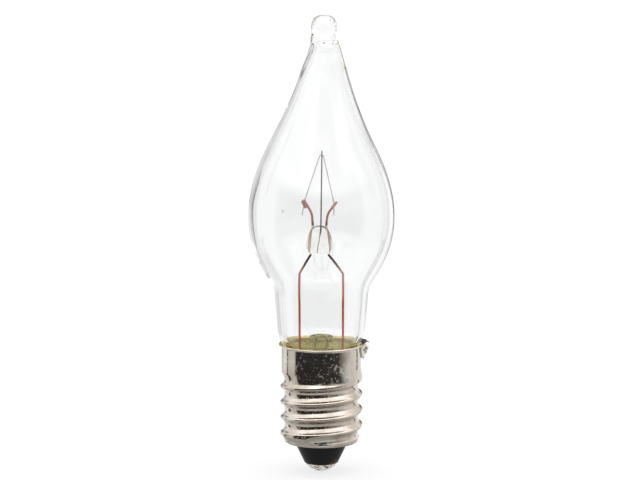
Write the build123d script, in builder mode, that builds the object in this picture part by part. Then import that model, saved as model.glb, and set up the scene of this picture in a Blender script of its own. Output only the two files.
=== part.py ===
from build123d import *
import os
from math import acos, atan, ceil, cos, sin, sqrt, tan

# Clear candle bulb with a small Edison screw cap. The origin is the tip of the centre contact,
# +Z runs up the axis to the flame tip, and the wires inside stand in the XZ plane. Millimetres.

# Cap heights, stacked up from the tip of the contact
contact_height = 0.95
insulator_drop = 2.45
shell_height = 11.6
shell_base_z = contact_height + insulator_drop
rim_z = shell_base_z + shell_height

# Screw shell: one formed sheet, with a right-hand thread of equal round crests and roots
sheet = 0.25
crest_radius = 4.765
thread_depth = 0.51
thread_pitch = 1.814
crest_flat = 0.03
groove_start_angle = -89
groove_foot_height = 0.7
groove_overrun = 0.15
heel_radius = 4.3
heel_bend = 0.1
heel_straight = 0.1
heel_cone = 0.6
shoulder_drop = 0.35
skirt_radius = 4.6
skirt_band = 1.1
flare_drop = 1.95
waist_inset = 0.05
rim_clearance = 0.1
notch_clearance = 0.06

# Insulator, contact eyelet and contact solder
insulator_waist = 3.12
insulator_tip = 1.88
insulator_rise = 1.8
flange_clearance = 0.02
eyelet_flange = 1.6
eyelet_sheet = 0.25
eyelet_bore = 0.5
eyelet_height = 1.95
dome_radius = 1.83
solder_plug = 0.6

# Glass envelope: each height is measured from the place before it, the first from the rim
glass_wall = 0.6
seat_depth = 1.9
base_corner = 3.8
neck_overhang = 0.12
neck_height = 5.75
neck_top_radius = 5.4
shoulder_height = 2.1
shoulder_radius = 6.26
swell_height = 2.8
swell_inset = 0.73
belly_height = 4.2
belly_radius = 8.42
crown_height = 5.6
crown_inset = 1.11
taper_height = 4.9
taper_radius = 5.05
spire_height = 5.5
spire_radius = 2.91
throat_height = 3.9
throat_radius = 1.76
tip_waist_height = 1.3
tip_waist = 1.36
tip_bead = 1.47
tip_thickness = 1.8

# Exhaust tube, sealed off inside the cap
tube_radius = 1.39
tube_bore = 0.62
tube_length = 4.6
tube_rise = 1.9
tube_flare = 0.05

# Wires: the knees are above the outside of the glass floor, the rest rises from piece to piece
lead_diameter = 0.27
lead_bend = 0.35
lead_spread = 2.52
knee_height = 10.1
lead_exit = 1.03
lead_entry = 0.77
elbow_rise = 1.45
elbow_bend = 2.0
left_elbow_x = -1.08
right_elbow_x = 0.7
left_hook_x = -1.95
left_hook_rise = 1.48
right_hook_x = 1.74
right_hook_rise = 1.25
hook_leg = 0.85
wire_clearance = 0.01
coil_diameter = 0.14
coil_bend = 0.25
left_clamp_x = -1.93
right_clamp_x = 1.43
clamp_rise = 1.3
arch_rise = 6.08
tail_length = 1.55
tail_drift = 0.26
support_diameter = 0.15
support_bend = 0.14
support_x = 0.08
support_side_offset = 0.3
support_swing_length = 1.1
support_spike = 0.65

# Glass bead that holds the wires apart
bead_x = -0.22
bead_rise = 2.15
bead_length = 3.4
bead_foot = 1.15
bead_radius = 1.47
bead_mouth = 1.05
bead_round = 0.3
support_depth = 2.9

# Joins below the glass: cement ring, the lead to the contact and the lead to the rim
cement_bore = 1.6
cement_drop = 0.9
cement_height = 1.9
contact_lead_height = 2.4
contact_lead_slant = 2.6
side_lead_drop = 0.55
side_lead_reach = 0.3
side_lead_bend = 0.2
side_solder_radius = 0.65
side_solder_stand = 0.25
side_solder_drop = 0.15
solder_neck_radius = 0.48
solder_tail_length = 1.7
solder_tail_radius = 0.14

# Shell heights that follow from its sheet, bends and bands
heel_z = shell_base_z + heel_bend + sheet + heel_straight
crest_low_z = heel_z + heel_cone
skirt_band_z = rim_z - flare_drop
skirt_low_z = skirt_band_z - skirt_band
crest_high_z = skirt_low_z - shoulder_drop
groove_low_z = shell_base_z + groove_foot_height
groove_high_z = crest_high_z + groove_overrun

# Thread form: two arcs a pitch, which meet at the steepest slope of the flank
flank = 2 * atan(2 * thread_depth / thread_pitch)
round_radius = thread_pitch / (4 * sin(flank))
root_radius = crest_radius - thread_depth

# Glass neck: a straight taper on a rounded floor, whose arc the rim of the shell follows
floor_z = rim_z - seat_depth
neck_foot_radius = skirt_radius + neck_overhang
neck_top_z = rim_z + neck_height
neck_lean = atan((neck_top_radius - neck_foot_radius) / (neck_top_z - floor_z))
corner_r = neck_foot_radius - base_corner * (1 - sin(neck_lean)) / cos(neck_lean)
corner_z = floor_z + base_corner

# Heights and places of the wires
lead_radius = lead_diameter / 2
coil_radius = coil_diameter / 2
knee_z = floor_z + knee_height
bead_z = knee_z + bead_rise
bead_top_z = bead_z + bead_length
elbow_z = bead_top_z + elbow_rise
clamp_z = elbow_z + clamp_rise
arch_z = clamp_z + arch_rise
tail_z = clamp_z - tail_length
contact_lead_z = shell_base_z + contact_lead_height
coil_offset = lead_radius + coil_radius + wire_clearance

# The side lead rises between glass and shell, then leaves through a notch in the rim
side_lead_x = skirt_radius - waist_inset - sheet - lead_radius - rim_clearance
side_lead_arc = base_corner + lead_radius + rim_clearance
side_lead_z = corner_z - sqrt(side_lead_arc**2 - (side_lead_x - corner_r) ** 2)

os.makedirs("parts", exist_ok=True)


def shell_section(inset):
    """Half section of the shell without its thread, or of its hollow when set in by the sheet."""
    flare = base_corner + rim_clearance + sheet - inset
    waist = skirt_radius - waist_inset - inset
    waist_z = corner_z - sqrt(flare**2 - (waist - corner_r) ** 2)
    middle_z = (waist_z + rim_z) / 2
    middle = corner_r + sqrt(flare**2 - (corner_z - middle_z) ** 2)
    lip = corner_r + sqrt(flare**2 - (corner_z - rim_z) ** 2)
    base_z = shell_base_z + inset
    heel = heel_radius - inset
    low_shift = inset * tan(atan((crest_radius - heel_radius) / heel_cone) / 2)
    high_shift = inset * tan(atan((crest_radius - skirt_radius) / (skirt_low_z - crest_high_z)) / 2)
    with BuildSketch(Plane.XZ) as section:
        with BuildLine():
            FilletPolyline(
                (0, rim_z),
                (0, base_z),
                (heel, base_z),
                (heel, heel_z + low_shift),
                (crest_radius - inset, crest_low_z + low_shift),
                (crest_radius - inset, crest_high_z - high_shift),
                (skirt_radius - inset, skirt_low_z - high_shift),
                (skirt_radius - inset, skirt_band_z),
                (waist, waist_z),
                radius=[0, heel_bend + sheet - inset, 0, 0, 0, 0, 0],
            )
            ThreePointArc((waist, waist_z), (middle, middle_z), (lip, rim_z))
            Line((lip, rim_z), (0, rim_z))
        make_face()
    return section.sketch


def groove_section(inset):
    """Section of the thread's groove, or of the ridge behind it when grown by the sheet."""
    root = round_radius + inset
    crest = round_radius - inset
    root_x = crest_flat - thread_depth + round_radius
    crest_x = crest_flat - round_radius
    end = acos(1 - crest_flat / crest) / 2
    middle = (flank + end) / 2
    flank_point = (root_x - root * cos(flank), root * sin(flank))
    middle_point = (crest_x + crest * cos(middle), thread_pitch / 2 - crest * sin(middle))
    end_point = (crest_x + crest * cos(end), thread_pitch / 2 - crest * sin(end))
    outside_point = (sheet, end_point[1])
    with BuildSketch(groove_plane) as section:
        with BuildLine():
            ThreePointArc(flank_point, (root_x - root, 0), (flank_point[0], -flank_point[1]))
            ThreePointArc(flank_point, middle_point, end_point)
            Line(end_point, outside_point)
            mirror(about=Plane.XZ)
            Line(outside_point, (sheet, -end_point[1]))
        make_face()
    return section.sketch


def round_wire(diameter, bends, *points):
    """Draw a round wire along straight runs joined by bends."""
    with BuildLine() as route:
        FilletPolyline(*points, radius=bends)
    with BuildSketch(Plane(origin=route.line @ 0, z_dir=route.line % 0)) as section:
        Circle(diameter / 2)
    sweep(section.sketch, route.line)


# Route of the groove: short stretches of a helix, whose two ends run out of the metal on its tangents
stretches = ceil(2 * (groove_high_z - groove_low_z) / thread_pitch)
stretch_rise = (groove_high_z - groove_low_z) / stretches
stretch_turn = 360 * stretch_rise / thread_pitch
groove_turns = [
    Helix(thread_pitch, stretch_rise, crest_radius, (0, 0, groove_low_z + n * stretch_rise))
    .rotate(Axis.Z, groove_start_angle + n * stretch_turn)
    for n in range(stretches)
]
groove_low = groove_turns[0] @ 0
groove_high = groove_turns[-1] @ 1
groove_low_tangent = groove_turns[0] % 0
groove_high_tangent = groove_turns[-1] % 1
run_out = sqrt(crest_radius**2 - (root_radius - sheet) ** 2) + sheet
run_in_line = Line(groove_low - run_out * groove_low_tangent, groove_low)
run_out_line = Line(groove_high, groove_high + run_out * groove_high_tangent)
groove_route = Wire([run_in_line, *groove_turns, run_out_line])
groove_plane = Plane(
    origin=run_in_line @ 0,
    x_dir=(groove_low.X, groove_low.Y, 0),
    z_dir=groove_low_tangent,
)

# Hollow of the shell, with the back of the groove standing into it
with BuildPart() as shell_hollow:
    revolve(shell_section(sheet), Axis.Z)
    sweep(groove_section(sheet), groove_route, is_frenet=True, mode=Mode.SUBTRACT)

# Screw shell, open at the rim, with a hole for the insulator and a notch for the side lead
with BuildPart() as screw_shell:
    revolve(shell_section(0), Axis.Z)
    sweep(groove_section(0), groove_route, is_frenet=True, mode=Mode.SUBTRACT)
    add(shell_hollow.part, mode=Mode.SUBTRACT)
    with BuildSketch(Plane.XY.offset(shell_base_z)):
        Circle(insulator_waist)
    extrude(amount=sheet, mode=Mode.SUBTRACT)
    with BuildSketch(Plane.YZ.offset(skirt_radius)):
        with Locations((0, side_lead_z)):
            Circle(lead_radius + notch_clearance)
        with Locations((0, rim_z)):
            Rectangle(
                lead_diameter + 2 * notch_clearance,
                rim_z - side_lead_z,
                align=(Align.CENTER, Align.MAX),
            )
    extrude(amount=2 * sheet, both=True, mode=Mode.SUBTRACT)
screw_shell.part.label = "screw_shell"
export_step(screw_shell.part, "parts/screw_shell.step")

# Left lead: from the contact up the axis, out past the exhaust tube, through the floor and the
# bead, and folded back on itself in the plane of the filament
left_top = Vector(left_hook_x, 0, elbow_z + left_hook_rise)
left_run = (left_top - Vector(left_elbow_x, 0, elbow_z)).normalized()
left_fold = (lead_diameter + 2 * wire_clearance) * Vector(-left_run.Z, 0, left_run.X)
fold_bend = lead_radius + wire_clearance / 2
with BuildPart() as lead_wire_left:
    round_wire(
        lead_diameter,
        [lead_bend] * 5 + [elbow_bend] + [fold_bend] * 2,
        (0, 0, contact_height / 2),
        (0, 0, contact_lead_z),
        (-lead_spread, 0, contact_lead_z + contact_lead_slant),
        (-lead_spread, 0, knee_z),
        (bead_x - lead_exit, 0, bead_z),
        (bead_x - lead_entry, 0, bead_top_z),
        (left_elbow_x, 0, elbow_z),
        left_top,
        left_top + left_fold,
        left_top + left_fold - hook_leg * left_run,
    )
lead_wire_left.part.label = "lead_wire_left"
export_step(lead_wire_left.part, "parts/lead_wire_left.step")

# Right lead: from the solder at the rim, in through the notch and under the floor, then up
# through the bead to a hook whose two legs stand before and behind the filament
right_top = Vector(right_hook_x, -coil_offset, elbow_z + right_hook_rise)
right_elbow = Vector(right_elbow_x, -coil_offset, elbow_z)
right_fold = Vector(0, 2 * coil_offset, 0)
right_run = (right_top - right_elbow).normalized()
with BuildPart() as lead_wire_right:
    round_wire(
        lead_diameter,
        [side_lead_bend] * 2 + [lead_bend] * 4 + [elbow_bend] + [coil_offset - wire_clearance] * 2,
        (skirt_radius + side_lead_reach, 0, side_lead_z),
        (side_lead_x, 0, side_lead_z),
        (side_lead_x, 0, floor_z - side_lead_drop),
        (lead_spread, 0, floor_z - side_lead_drop),
        (lead_spread, 0, knee_z),
        (bead_x + lead_exit, 0, bead_z),
        (bead_x + lead_entry, 0, bead_top_z),
        right_elbow,
        right_top,
        right_top + right_fold,
        right_top + right_fold - hook_leg * right_run,
    )
lead_wire_right.part.label = "lead_wire_right"
export_step(lead_wire_right.part, "parts/lead_wire_right.step")

# Filament: a close coil drawn as its outer tube, hung over the support and held at both hooks
arch_angle = atan((support_x - left_clamp_x) / (arch_z - clamp_z))
arch_angle += atan((right_clamp_x - support_x) / (arch_z - clamp_z))
arch_top_z = arch_z - coil_bend * (1 / sin(arch_angle / 2) - 1)
with BuildPart() as filament:
    round_wire(
        coil_diameter,
        coil_bend,
        (left_clamp_x - tail_drift, coil_offset, tail_z),
        (left_clamp_x, coil_offset, clamp_z),
        (support_x, 0, arch_z),
        (right_clamp_x, 0, clamp_z),
        (right_clamp_x, 0, tail_z),
    )
filament.part.label = "filament"
export_step(filament.part, "parts/filament.step")

# Support wire: straight up from the bead, then under the arch of the filament and up to a spike
support_z = arch_top_z - coil_radius - wire_clearance - support_diameter / 2
with BuildPart() as support_wire:
    round_wire(
        support_diameter,
        support_bend,
        (bead_x, 0, bead_top_z - support_depth),
        (support_x, 0, support_z - support_swing_length),
        (support_x, support_side_offset, support_z),
        (support_x, -support_side_offset, support_z),
        (support_x, -support_side_offset, support_z + support_spike),
    )
support_wire.part.label = "support_wire"
export_step(support_wire.part, "parts/support_wire.step")

# Bead: a drop of glass melted round the three wires
with BuildPart() as mount_bead:
    with BuildSketch(Plane.XZ):
        with BuildLine():
            Polyline((bead_x, bead_top_z), (bead_x, bead_z), (bead_x + bead_foot, bead_z))
            ThreePointArc(
                (bead_x + bead_foot, bead_z),
                (bead_x + bead_radius, bead_z + bead_length / 2),
                (bead_x + bead_mouth, bead_top_z),
            )
            Line((bead_x + bead_mouth, bead_top_z), (bead_x, bead_top_z))
        make_face()
    revolve(axis=Axis((bead_x, 0, 0), (0, 0, 1)))
    fillet(mount_bead.edges().filter_by(GeomType.CIRCLE), bead_round)
    add(lead_wire_left.part, mode=Mode.SUBTRACT)
    add(lead_wire_right.part, mode=Mode.SUBTRACT)
    add(support_wire.part, mode=Mode.SUBTRACT)
mount_bead.part.label = "mount_bead"
export_step(mount_bead.part, "parts/mount_bead.step")

# Envelope outlines: rounded floor, straight neck, flame-shaped curve and the bead of the seal
neck_along = Vector(sin(neck_lean), cos(neck_lean))
shoulder_z = neck_top_z + shoulder_height
swell_z = shoulder_z + swell_height
belly_z = swell_z + belly_height
crown_z = belly_z + crown_height
taper_z = crown_z + taper_height
spire_z = taper_z + spire_height
throat_z = spire_z + throat_height
tip_waist_z = throat_z + tip_waist_height
tip_bead_z = tip_waist_z + sqrt(tip_bead**2 - tip_waist**2)
top_z = tip_bead_z + tip_bead
with BuildSketch(Plane.XZ) as envelope_outline:
    with BuildLine():
        FilletPolyline(
            (0, floor_z),
            (neck_foot_radius, floor_z),
            (neck_top_radius, neck_top_z),
            radius=base_corner,
        )
        flame = Spline(
            (neck_top_radius, neck_top_z),
            (shoulder_radius, shoulder_z),
            (belly_radius - swell_inset, swell_z),
            (belly_radius, belly_z),
            (belly_radius - crown_inset, crown_z),
            (taper_radius, taper_z),
            (spire_radius, spire_z),
            (throat_radius, throat_z),
            (tip_waist, tip_waist_z),
            tangents=[neck_along, (tip_waist - throat_radius, tip_waist_height)],
        )
        ThreePointArc((tip_waist, tip_waist_z), (tip_bead, tip_bead_z), (0, top_z))
        Line((0, top_z), (0, floor_z))
    make_face()

cavity_steps = 12
cavity_end = 0.92
cavity_curve = []
for step in range(cavity_steps + 1):
    share = cavity_end * step / cavity_steps
    along = flame % share
    cavity_curve.append(flame @ share + glass_wall * Vector(-along.Y, along.X))
cavity_foot = neck_foot_radius - glass_wall * (1 - sin(neck_lean)) / cos(neck_lean)
cavity_top = Vector(0, tip_waist_z - tip_thickness)
cavity_along = flame % cavity_end
cavity_corner = cavity_curve[-1] + (cavity_top.Y - cavity_curve[-1].Y) / cavity_along.Y * cavity_along
with BuildSketch(Plane.XZ) as cavity_outline:
    with BuildLine():
        FilletPolyline(
            (0, floor_z + glass_wall),
            (cavity_foot, floor_z + glass_wall),
            cavity_curve[0],
            radius=base_corner - glass_wall,
        )
        Spline(*cavity_curve, tangents=[neck_along, cavity_along])
        Bezier(cavity_curve[-1], cavity_corner, cavity_top)
        Line(cavity_top, (0, floor_z + glass_wall))
    make_face()

envelope_section = envelope_outline.sketch - cavity_outline.sketch
with BuildPart() as glass_envelope:
    revolve(envelope_section, Axis.Z)
    with BuildSketch(Plane.XY.offset(floor_z)):
        Circle(tube_radius)
    extrude(amount=glass_wall + tube_rise, mode=Mode.SUBTRACT)
    add(lead_wire_left.part, mode=Mode.SUBTRACT)
    add(lead_wire_right.part, mode=Mode.SUBTRACT)
glass_envelope.part.label = "glass_envelope"
export_step(glass_envelope.part, "parts/glass_envelope.step")

# Exhaust tube: flared into the floor, and sealed to a round end inside the cap
tube_end_z = floor_z - tube_length + tube_radius
tube_flare_z = floor_z + glass_wall
tube_top_z = tube_flare_z + tube_rise
with BuildPart() as exhaust_tube:
    with BuildSketch(Plane.XZ):
        with BuildLine():
            for radius in (tube_radius, tube_bore):
                CenterArc((0, tube_end_z), radius, 270, 90)
                Line((radius, tube_end_z), (radius, tube_flare_z))
                TangentArc((radius, tube_flare_z), (radius + tube_flare, tube_top_z), tangent=(0, 1))
            Line((tube_bore + tube_flare, tube_top_z), (tube_radius + tube_flare, tube_top_z))
            Line((0, tube_end_z - tube_radius), (0, tube_end_z - tube_bore))
        make_face()
    revolve(axis=Axis.Z)
exhaust_tube.part.label = "exhaust_tube"
export_step(exhaust_tube.part, "parts/exhaust_tube.step")

# Cement ring, cast between the glass floor and the skirt of the shell
with BuildPart() as basing_cement:
    with BuildSketch(Plane.XY.offset(rim_z - cement_drop - cement_height)):
        Circle(crest_radius)
        Circle(cement_bore, mode=Mode.SUBTRACT)
    extrude(amount=cement_height)
    add(shell_hollow.part, mode=Mode.INTERSECT)
    revolve(envelope_outline.sketch, Axis.Z, mode=Mode.SUBTRACT)
    add(lead_wire_left.part, mode=Mode.SUBTRACT)
    add(lead_wire_right.part, mode=Mode.SUBTRACT)
basing_cement.part.label = "basing_cement"
export_step(basing_cement.part, "parts/basing_cement.step")

# Insulator: a flange inside the shell, and a cone below it that carries the contact
eyelet_radius = eyelet_bore + eyelet_sheet
insulator_flange = min(heel_radius - heel_bend, root_radius - flange_clearance) - sheet
with BuildPart() as insulator:
    with BuildSketch(Plane.XZ):
        with BuildLine():
            Polyline(
                (eyelet_radius, shell_base_z + insulator_rise),
                (insulator_flange, shell_base_z + insulator_rise),
                (insulator_flange, shell_base_z + sheet),
                (insulator_waist, shell_base_z + sheet),
                (insulator_waist, shell_base_z),
                (insulator_tip, contact_height),
                (eyelet_flange, contact_height),
                (eyelet_flange, contact_height + eyelet_sheet),
                (eyelet_radius, contact_height + eyelet_sheet),
                close=True,
            )
        make_face()
    revolve(axis=Axis.Z)
insulator.part.label = "insulator"
export_step(insulator.part, "parts/insulator.step")

# Contact eyelet: a flange set flush in the insulator, on a tube for the lead
with BuildPart() as contact_eyelet:
    with BuildSketch(Plane.XZ):
        with BuildLine():
            Polyline(
                (eyelet_bore, contact_height),
                (eyelet_flange, contact_height),
                (eyelet_flange, contact_height + eyelet_sheet),
                (eyelet_radius, contact_height + eyelet_sheet),
                (eyelet_radius, contact_height + eyelet_height),
                (eyelet_bore, contact_height + eyelet_height),
                close=True,
            )
        make_face()
    revolve(axis=Axis.Z)
contact_eyelet.part.label = "contact_eyelet"
export_step(contact_eyelet.part, "parts/contact_eyelet.step")

# Contact solder: a dome over the eyelet, run up into its bore round the lead
with BuildPart() as tip_solder:
    with BuildSketch(Plane.XZ):
        with BuildLine():
            TangentArc((0, 0), (dome_radius, contact_height), tangent=(1, 0))
            Polyline(
                (dome_radius, contact_height),
                (eyelet_bore, contact_height),
                (eyelet_bore, contact_height + solder_plug),
                (0, contact_height + solder_plug),
                (0, 0),
            )
        make_face()
    revolve(axis=Axis.Z)
    add(lead_wire_left.part, mode=Mode.SUBTRACT)
tip_solder.part.label = "tip_solder"
export_step(tip_solder.part, "parts/tip_solder.step")

# Side solder: a blob over the notch in the rim, with a tail run down the skirt
side_solder_x = skirt_radius + side_solder_stand
side_solder_z = rim_z - side_solder_drop
with BuildPart() as side_solder:
    with Locations((side_solder_x, 0, side_solder_z)):
        Sphere(side_solder_radius)
    with BuildSketch(Plane.XY.offset(side_solder_z)):
        with Locations((side_solder_x, 0)):
            Circle(solder_neck_radius)
    with BuildSketch(Plane.XY.offset(side_solder_z - solder_tail_length)):
        with Locations((skirt_radius, 0)):
            Circle(solder_tail_radius)
    loft()
    revolve(shell_section(0), Axis.Z, mode=Mode.SUBTRACT)
    revolve(envelope_outline.sketch, Axis.Z, mode=Mode.SUBTRACT)
    add(lead_wire_right.part, mode=Mode.SUBTRACT)
side_solder.part.label = "side_solder"
export_step(side_solder.part, "parts/side_solder.step")
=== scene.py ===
import math

import bpy
import numpy as np
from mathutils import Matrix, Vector, noise


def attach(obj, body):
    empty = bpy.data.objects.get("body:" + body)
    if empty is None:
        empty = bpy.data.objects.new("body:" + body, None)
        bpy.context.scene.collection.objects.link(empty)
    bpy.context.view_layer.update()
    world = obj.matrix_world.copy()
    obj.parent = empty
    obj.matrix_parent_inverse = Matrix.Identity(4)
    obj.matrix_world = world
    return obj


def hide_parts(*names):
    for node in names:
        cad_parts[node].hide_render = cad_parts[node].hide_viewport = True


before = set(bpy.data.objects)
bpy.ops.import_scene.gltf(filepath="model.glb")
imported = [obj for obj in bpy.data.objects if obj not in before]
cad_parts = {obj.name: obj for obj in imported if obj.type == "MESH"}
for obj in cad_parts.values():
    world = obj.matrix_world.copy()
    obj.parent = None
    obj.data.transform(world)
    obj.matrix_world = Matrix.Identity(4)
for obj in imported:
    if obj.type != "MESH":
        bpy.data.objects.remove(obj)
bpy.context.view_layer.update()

# A millimetre, in the metres of the scene
MM = 0.001

# Sizes of the cap in millimetres, as in the part's source, with heights from the tip of the contact
CONTACT_HEIGHT, DOME_RADIUS, INSULATOR, INSULATOR_TOP = 0.95, 1.83, 3.12, 5.2
BASE_Z, HEEL_Z, CREST_LOW, SKIRT_BAND, RIM_Z = 3.4, 3.85, 4.45, 13.05, 15.0
SHEET, CREST, DEPTH, PITCH = 0.25, 4.765, 0.51, 1.814
GROOVE_LOW, GROOVE_HIGH, GROOVE_ANGLE = 4.1, 11.75, math.radians(-89)
HEEL, HEEL_BEND, SKIRT, WAIST, RIM_GAP = 4.3, 0.1, 4.6, 4.55, 0.1
CEMENT_TOP, CEMENT_LOW, CEMENT_BORE = 14.1, 12.2, 1.6

# Sizes of the glass envelope and the exhaust tube
FLOOR_Z, WALL, CORNER = 13.1, 0.6, 3.8
NECK_FOOT, NECK_TOP, NECK_TOP_Z = 4.72, 5.4, 20.75
LEAN = math.atan((NECK_TOP - NECK_FOOT) / (NECK_TOP_Z - FLOOR_Z))
CORNER_R = NECK_FOOT - CORNER * (1 - math.sin(LEAN)) / math.cos(LEAN)
CORNER_Z = FLOOR_Z + CORNER
TIP_WAIST, TIP_WAIST_Z, TIP_BEAD, TIP_THICKNESS = 1.36, 51.05, 1.47, 1.8
TIP_BEAD_Z = TIP_WAIST_Z + math.sqrt(TIP_BEAD**2 - TIP_WAIST**2)
FLAME = [(NECK_TOP, NECK_TOP_Z), (6.26, 22.85), (7.69, 25.65), (8.42, 29.85), (7.31, 35.45),
         (5.05, 40.35), (2.91, 45.85), (1.76, 49.75), (TIP_WAIST, TIP_WAIST_Z)]
TUBE, BORE, TUBE_END, TUBE_RISE, TUBE_FLARE = 1.39, 0.62, 9.89, 1.9, 0.05

# Sizes of the wires, and of the bead that holds them apart
BEAD_X, BEAD_Z, BEAD_TOP = -0.22, 25.35, 28.75
LEAD, COIL, SUPPORT, CLEARANCE = 0.135, 0.07, 0.075, 0.01
LEAD_SPREAD, KNEE_Z, LEAD_EXIT, LEAD_ENTRY, LEAD_BEND = 2.52, 23.2, 1.03, 0.77, 0.35
CONTACT_LEAD_Z, CONTACT_LEAD_TOP = 5.8, 8.4
SIDE_LEAD_END, SIDE_LEAD_DROP, SIDE_LEAD_BEND = 4.9, 0.55, 0.2
ELBOW_RISE, ELBOW_BEND, LEFT_ELBOW_X, RIGHT_ELBOW_X = 1.45, 2.0, -1.08, 0.7
LEFT_HOOK_X, LEFT_HOOK_RISE, LEFT_HOOK_BEND = -1.95, 1.48, 0.14
RIGHT_HOOK_X, RIGHT_HOOK_RISE, RIGHT_HOOK_BEND = 1.74, 1.25, 0.205
HOOK_LEG = 0.85
LEFT_CLAMP_X, RIGHT_CLAMP_X, CLAMP_RISE, ARCH_RISE, COIL_BEND = -1.93, 1.43, 1.3, 6.08, 0.25
TAIL_LENGTH, TAIL_DRIFT = 1.55, 0.26
SUPPORT_X, SUPPORT_SIDE, SUPPORT_SWING, SUPPORT_SPIKE = 0.08, 0.3, 1.1, 0.65
SUPPORT_BEND, SUPPORT_DEPTH = 0.14, 2.9
COIL_Y = LEAD + COIL + CLEARANCE


# Curves and meshes

def arc(cr, cz, radius, start, end, count):
    """Points of an arc about (cr, cz), between two angles in degrees."""
    angles = np.radians(np.linspace(start, end, count))
    return [(cr + radius * math.cos(a), cz + radius * math.sin(a)) for a in angles]


def line(start, end, count):
    """Evenly spaced points from a start to an end, both included."""
    return [tuple(p) for p in np.linspace(start, end, count)]


def smooth(x):
    """A smooth step from 0 to 1."""
    x = min(1.0, max(0.0, x))
    return x * x * (3 - 2 * x)


def hump(z, low, rise, high, fall):
    """A smooth hump from low to high, with the lengths over which it rises and falls."""
    return smooth((z - low) / rise) * smooth((high - z) / fall)


def lumps(v, *waves):
    """Uneven height at a point, as a sum of (height, fineness) noises."""
    return sum(height * noise.noise(fineness * v) for height, fineness in waves)


def spline(points, first, last, per_span):
    """A smooth curve through points, with its two end directions given."""
    p = np.array(points, float)
    h = np.linalg.norm(np.diff(p, axis=0), axis=1)
    d = np.diff(p, axis=0) / h[:, None]
    n = len(p)
    a = np.eye(n)
    b = np.zeros_like(p)
    b[0] = np.array(first) / np.linalg.norm(first)
    b[-1] = np.array(last) / np.linalg.norm(last)
    for i in range(1, n - 1):
        a[i, i - 1:i + 2] = h[i], 2 * (h[i - 1] + h[i]), h[i - 1]
        b[i] = 3 * (h[i] * d[i - 1] + h[i - 1] * d[i])
    m = np.linalg.solve(a, b)
    out = []
    for i in range(n - 1):
        for t in np.linspace(0, 1, per_span, endpoint=False):
            out.append((2 * t**3 - 3 * t**2 + 1) * p[i] + (t**3 - 2 * t**2 + t) * h[i] * m[i]
                       + (3 * t**2 - 2 * t**3) * p[i + 1] + (t**3 - t**2) * h[i] * m[i + 1])
    return np.array(out + [p[-1]])


def inward(curve, distance):
    """The curve set in by a distance, for a curve that runs upwards."""
    along = np.gradient(curve, axis=0)
    along /= np.linalg.norm(along, axis=1)[:, None]
    return curve + distance * np.column_stack([-along[:, 1], along[:, 0]])


def bent(points, radii, step=0.06, longest=0.4):
    """A path of straight runs joined by bends, as close points."""
    points = [Vector(p) for p in points]
    path = [points[0]]
    for before, corner, after, radius in zip(points, points[1:], points[2:], radii):
        u, v = (before - corner).normalized(), (after - corner).normalized()
        half = u.angle(v) / 2
        reach = radius / math.tan(half)
        middle = corner + (u + v).normalized() * radius / math.sin(half)
        start = (corner + u * reach - middle).normalized()
        end = (corner + v * reach - middle).normalized()
        count = max(5, int(radius * (math.pi - 2 * half) / step) + 2)
        path += [middle + radius * start.slerp(end, i / (count - 1)) for i in range(count)]
    path.append(points[-1])
    out = [path[0]]
    for p, q in zip(path, path[1:]):
        parts = max(1, int((q - p).length / longest))
        out += [p.lerp(q, (i + 1) / parts) for i in range(parts)]
    return out


def frames(path):
    """Two cross directions at each point of a path, turned as little as possible."""
    along = [(b - a).normalized() for a, b in zip(path, path[1:])]
    along = [along[0]] + [(a + b).normalized() for a, b in zip(along, along[1:])] + [along[-1]]
    side = along[0].orthogonal().normalized()
    out = []
    for direction in along:
        side = (side - direction * side.dot(direction)).normalized()
        out.append((side, direction.cross(side)))
    return out


def strips(rings, sides, closed=False):
    """Faces between each ring of points and the next, and back to the first where closed."""
    faces = []
    for i in range(rings if closed else rings - 1):
        n = (i + 1) % rings
        for j in range(sides):
            k = (j + 1) % sides
            faces.append((i * sides + j, i * sides + k, n * sides + k, n * sides + j))
    return faces


def tube(path, radius, sides=16, shape=None):
    """A round tube along a path, closed at both ends with rounded caps."""
    cap_rise, cap_radius = 0.35 * radius, 0.75 * radius
    axes = frames(path)
    angles = np.linspace(0, 2 * math.pi, sides, endpoint=False)

    def circle(p, u, v, r):
        """Points round p, in the plane of u and v."""
        return [p + r * (math.cos(a) * u + math.sin(a) * v) for a in angles]

    rings = [circle(p, u, v, radius * (shape(p) if shape else 1)) for p, (u, v) in zip(path, axes)]
    (u, v), (last_u, last_v) = axes[0], axes[-1]
    rings.insert(0, circle(path[0] - cap_rise * u.cross(v), u, v, cap_radius))
    rings.append(circle(path[-1] + cap_rise * last_u.cross(last_v), last_u, last_v, cap_radius))
    verts = [p for points in rings for p in points]
    ends = [tuple(range(sides))[::-1], tuple(range(len(verts) - sides, len(verts)))]
    return verts, strips(len(rings), sides) + ends


def revolved(profile, segments, place=None, on_axis=1e-6):
    """A surface turned from (r, z) points; a point on the axis closes it with a fan."""
    verts, rows, faces = [], [], []
    for r, z in profile:
        if r < on_axis:
            rows.append([len(verts)] * segments)
            verts.append((0.0, 0.0, z))
            continue
        rows.append(list(range(len(verts), len(verts) + segments)))
        for j in range(segments):
            a = 2 * math.pi * j / segments
            verts.append((r * math.cos(a), r * math.sin(a), z))
    for low, high in zip(rows, rows[1:]):
        for j in range(segments):
            k = (j + 1) % segments
            face = [low[j], low[k], high[k], high[j]]
            faces.append(tuple(dict.fromkeys(face)))
    if place:
        verts = [place(Vector(v)) for v in verts]
    return verts, faces


def joined(*meshes):
    """Several meshes as one list of points and faces."""
    verts, faces = [], []
    for v, f in meshes:
        faces += [tuple(i + len(verts) for i in face) for face in f]
        verts += list(v)
    return verts, faces


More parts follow.
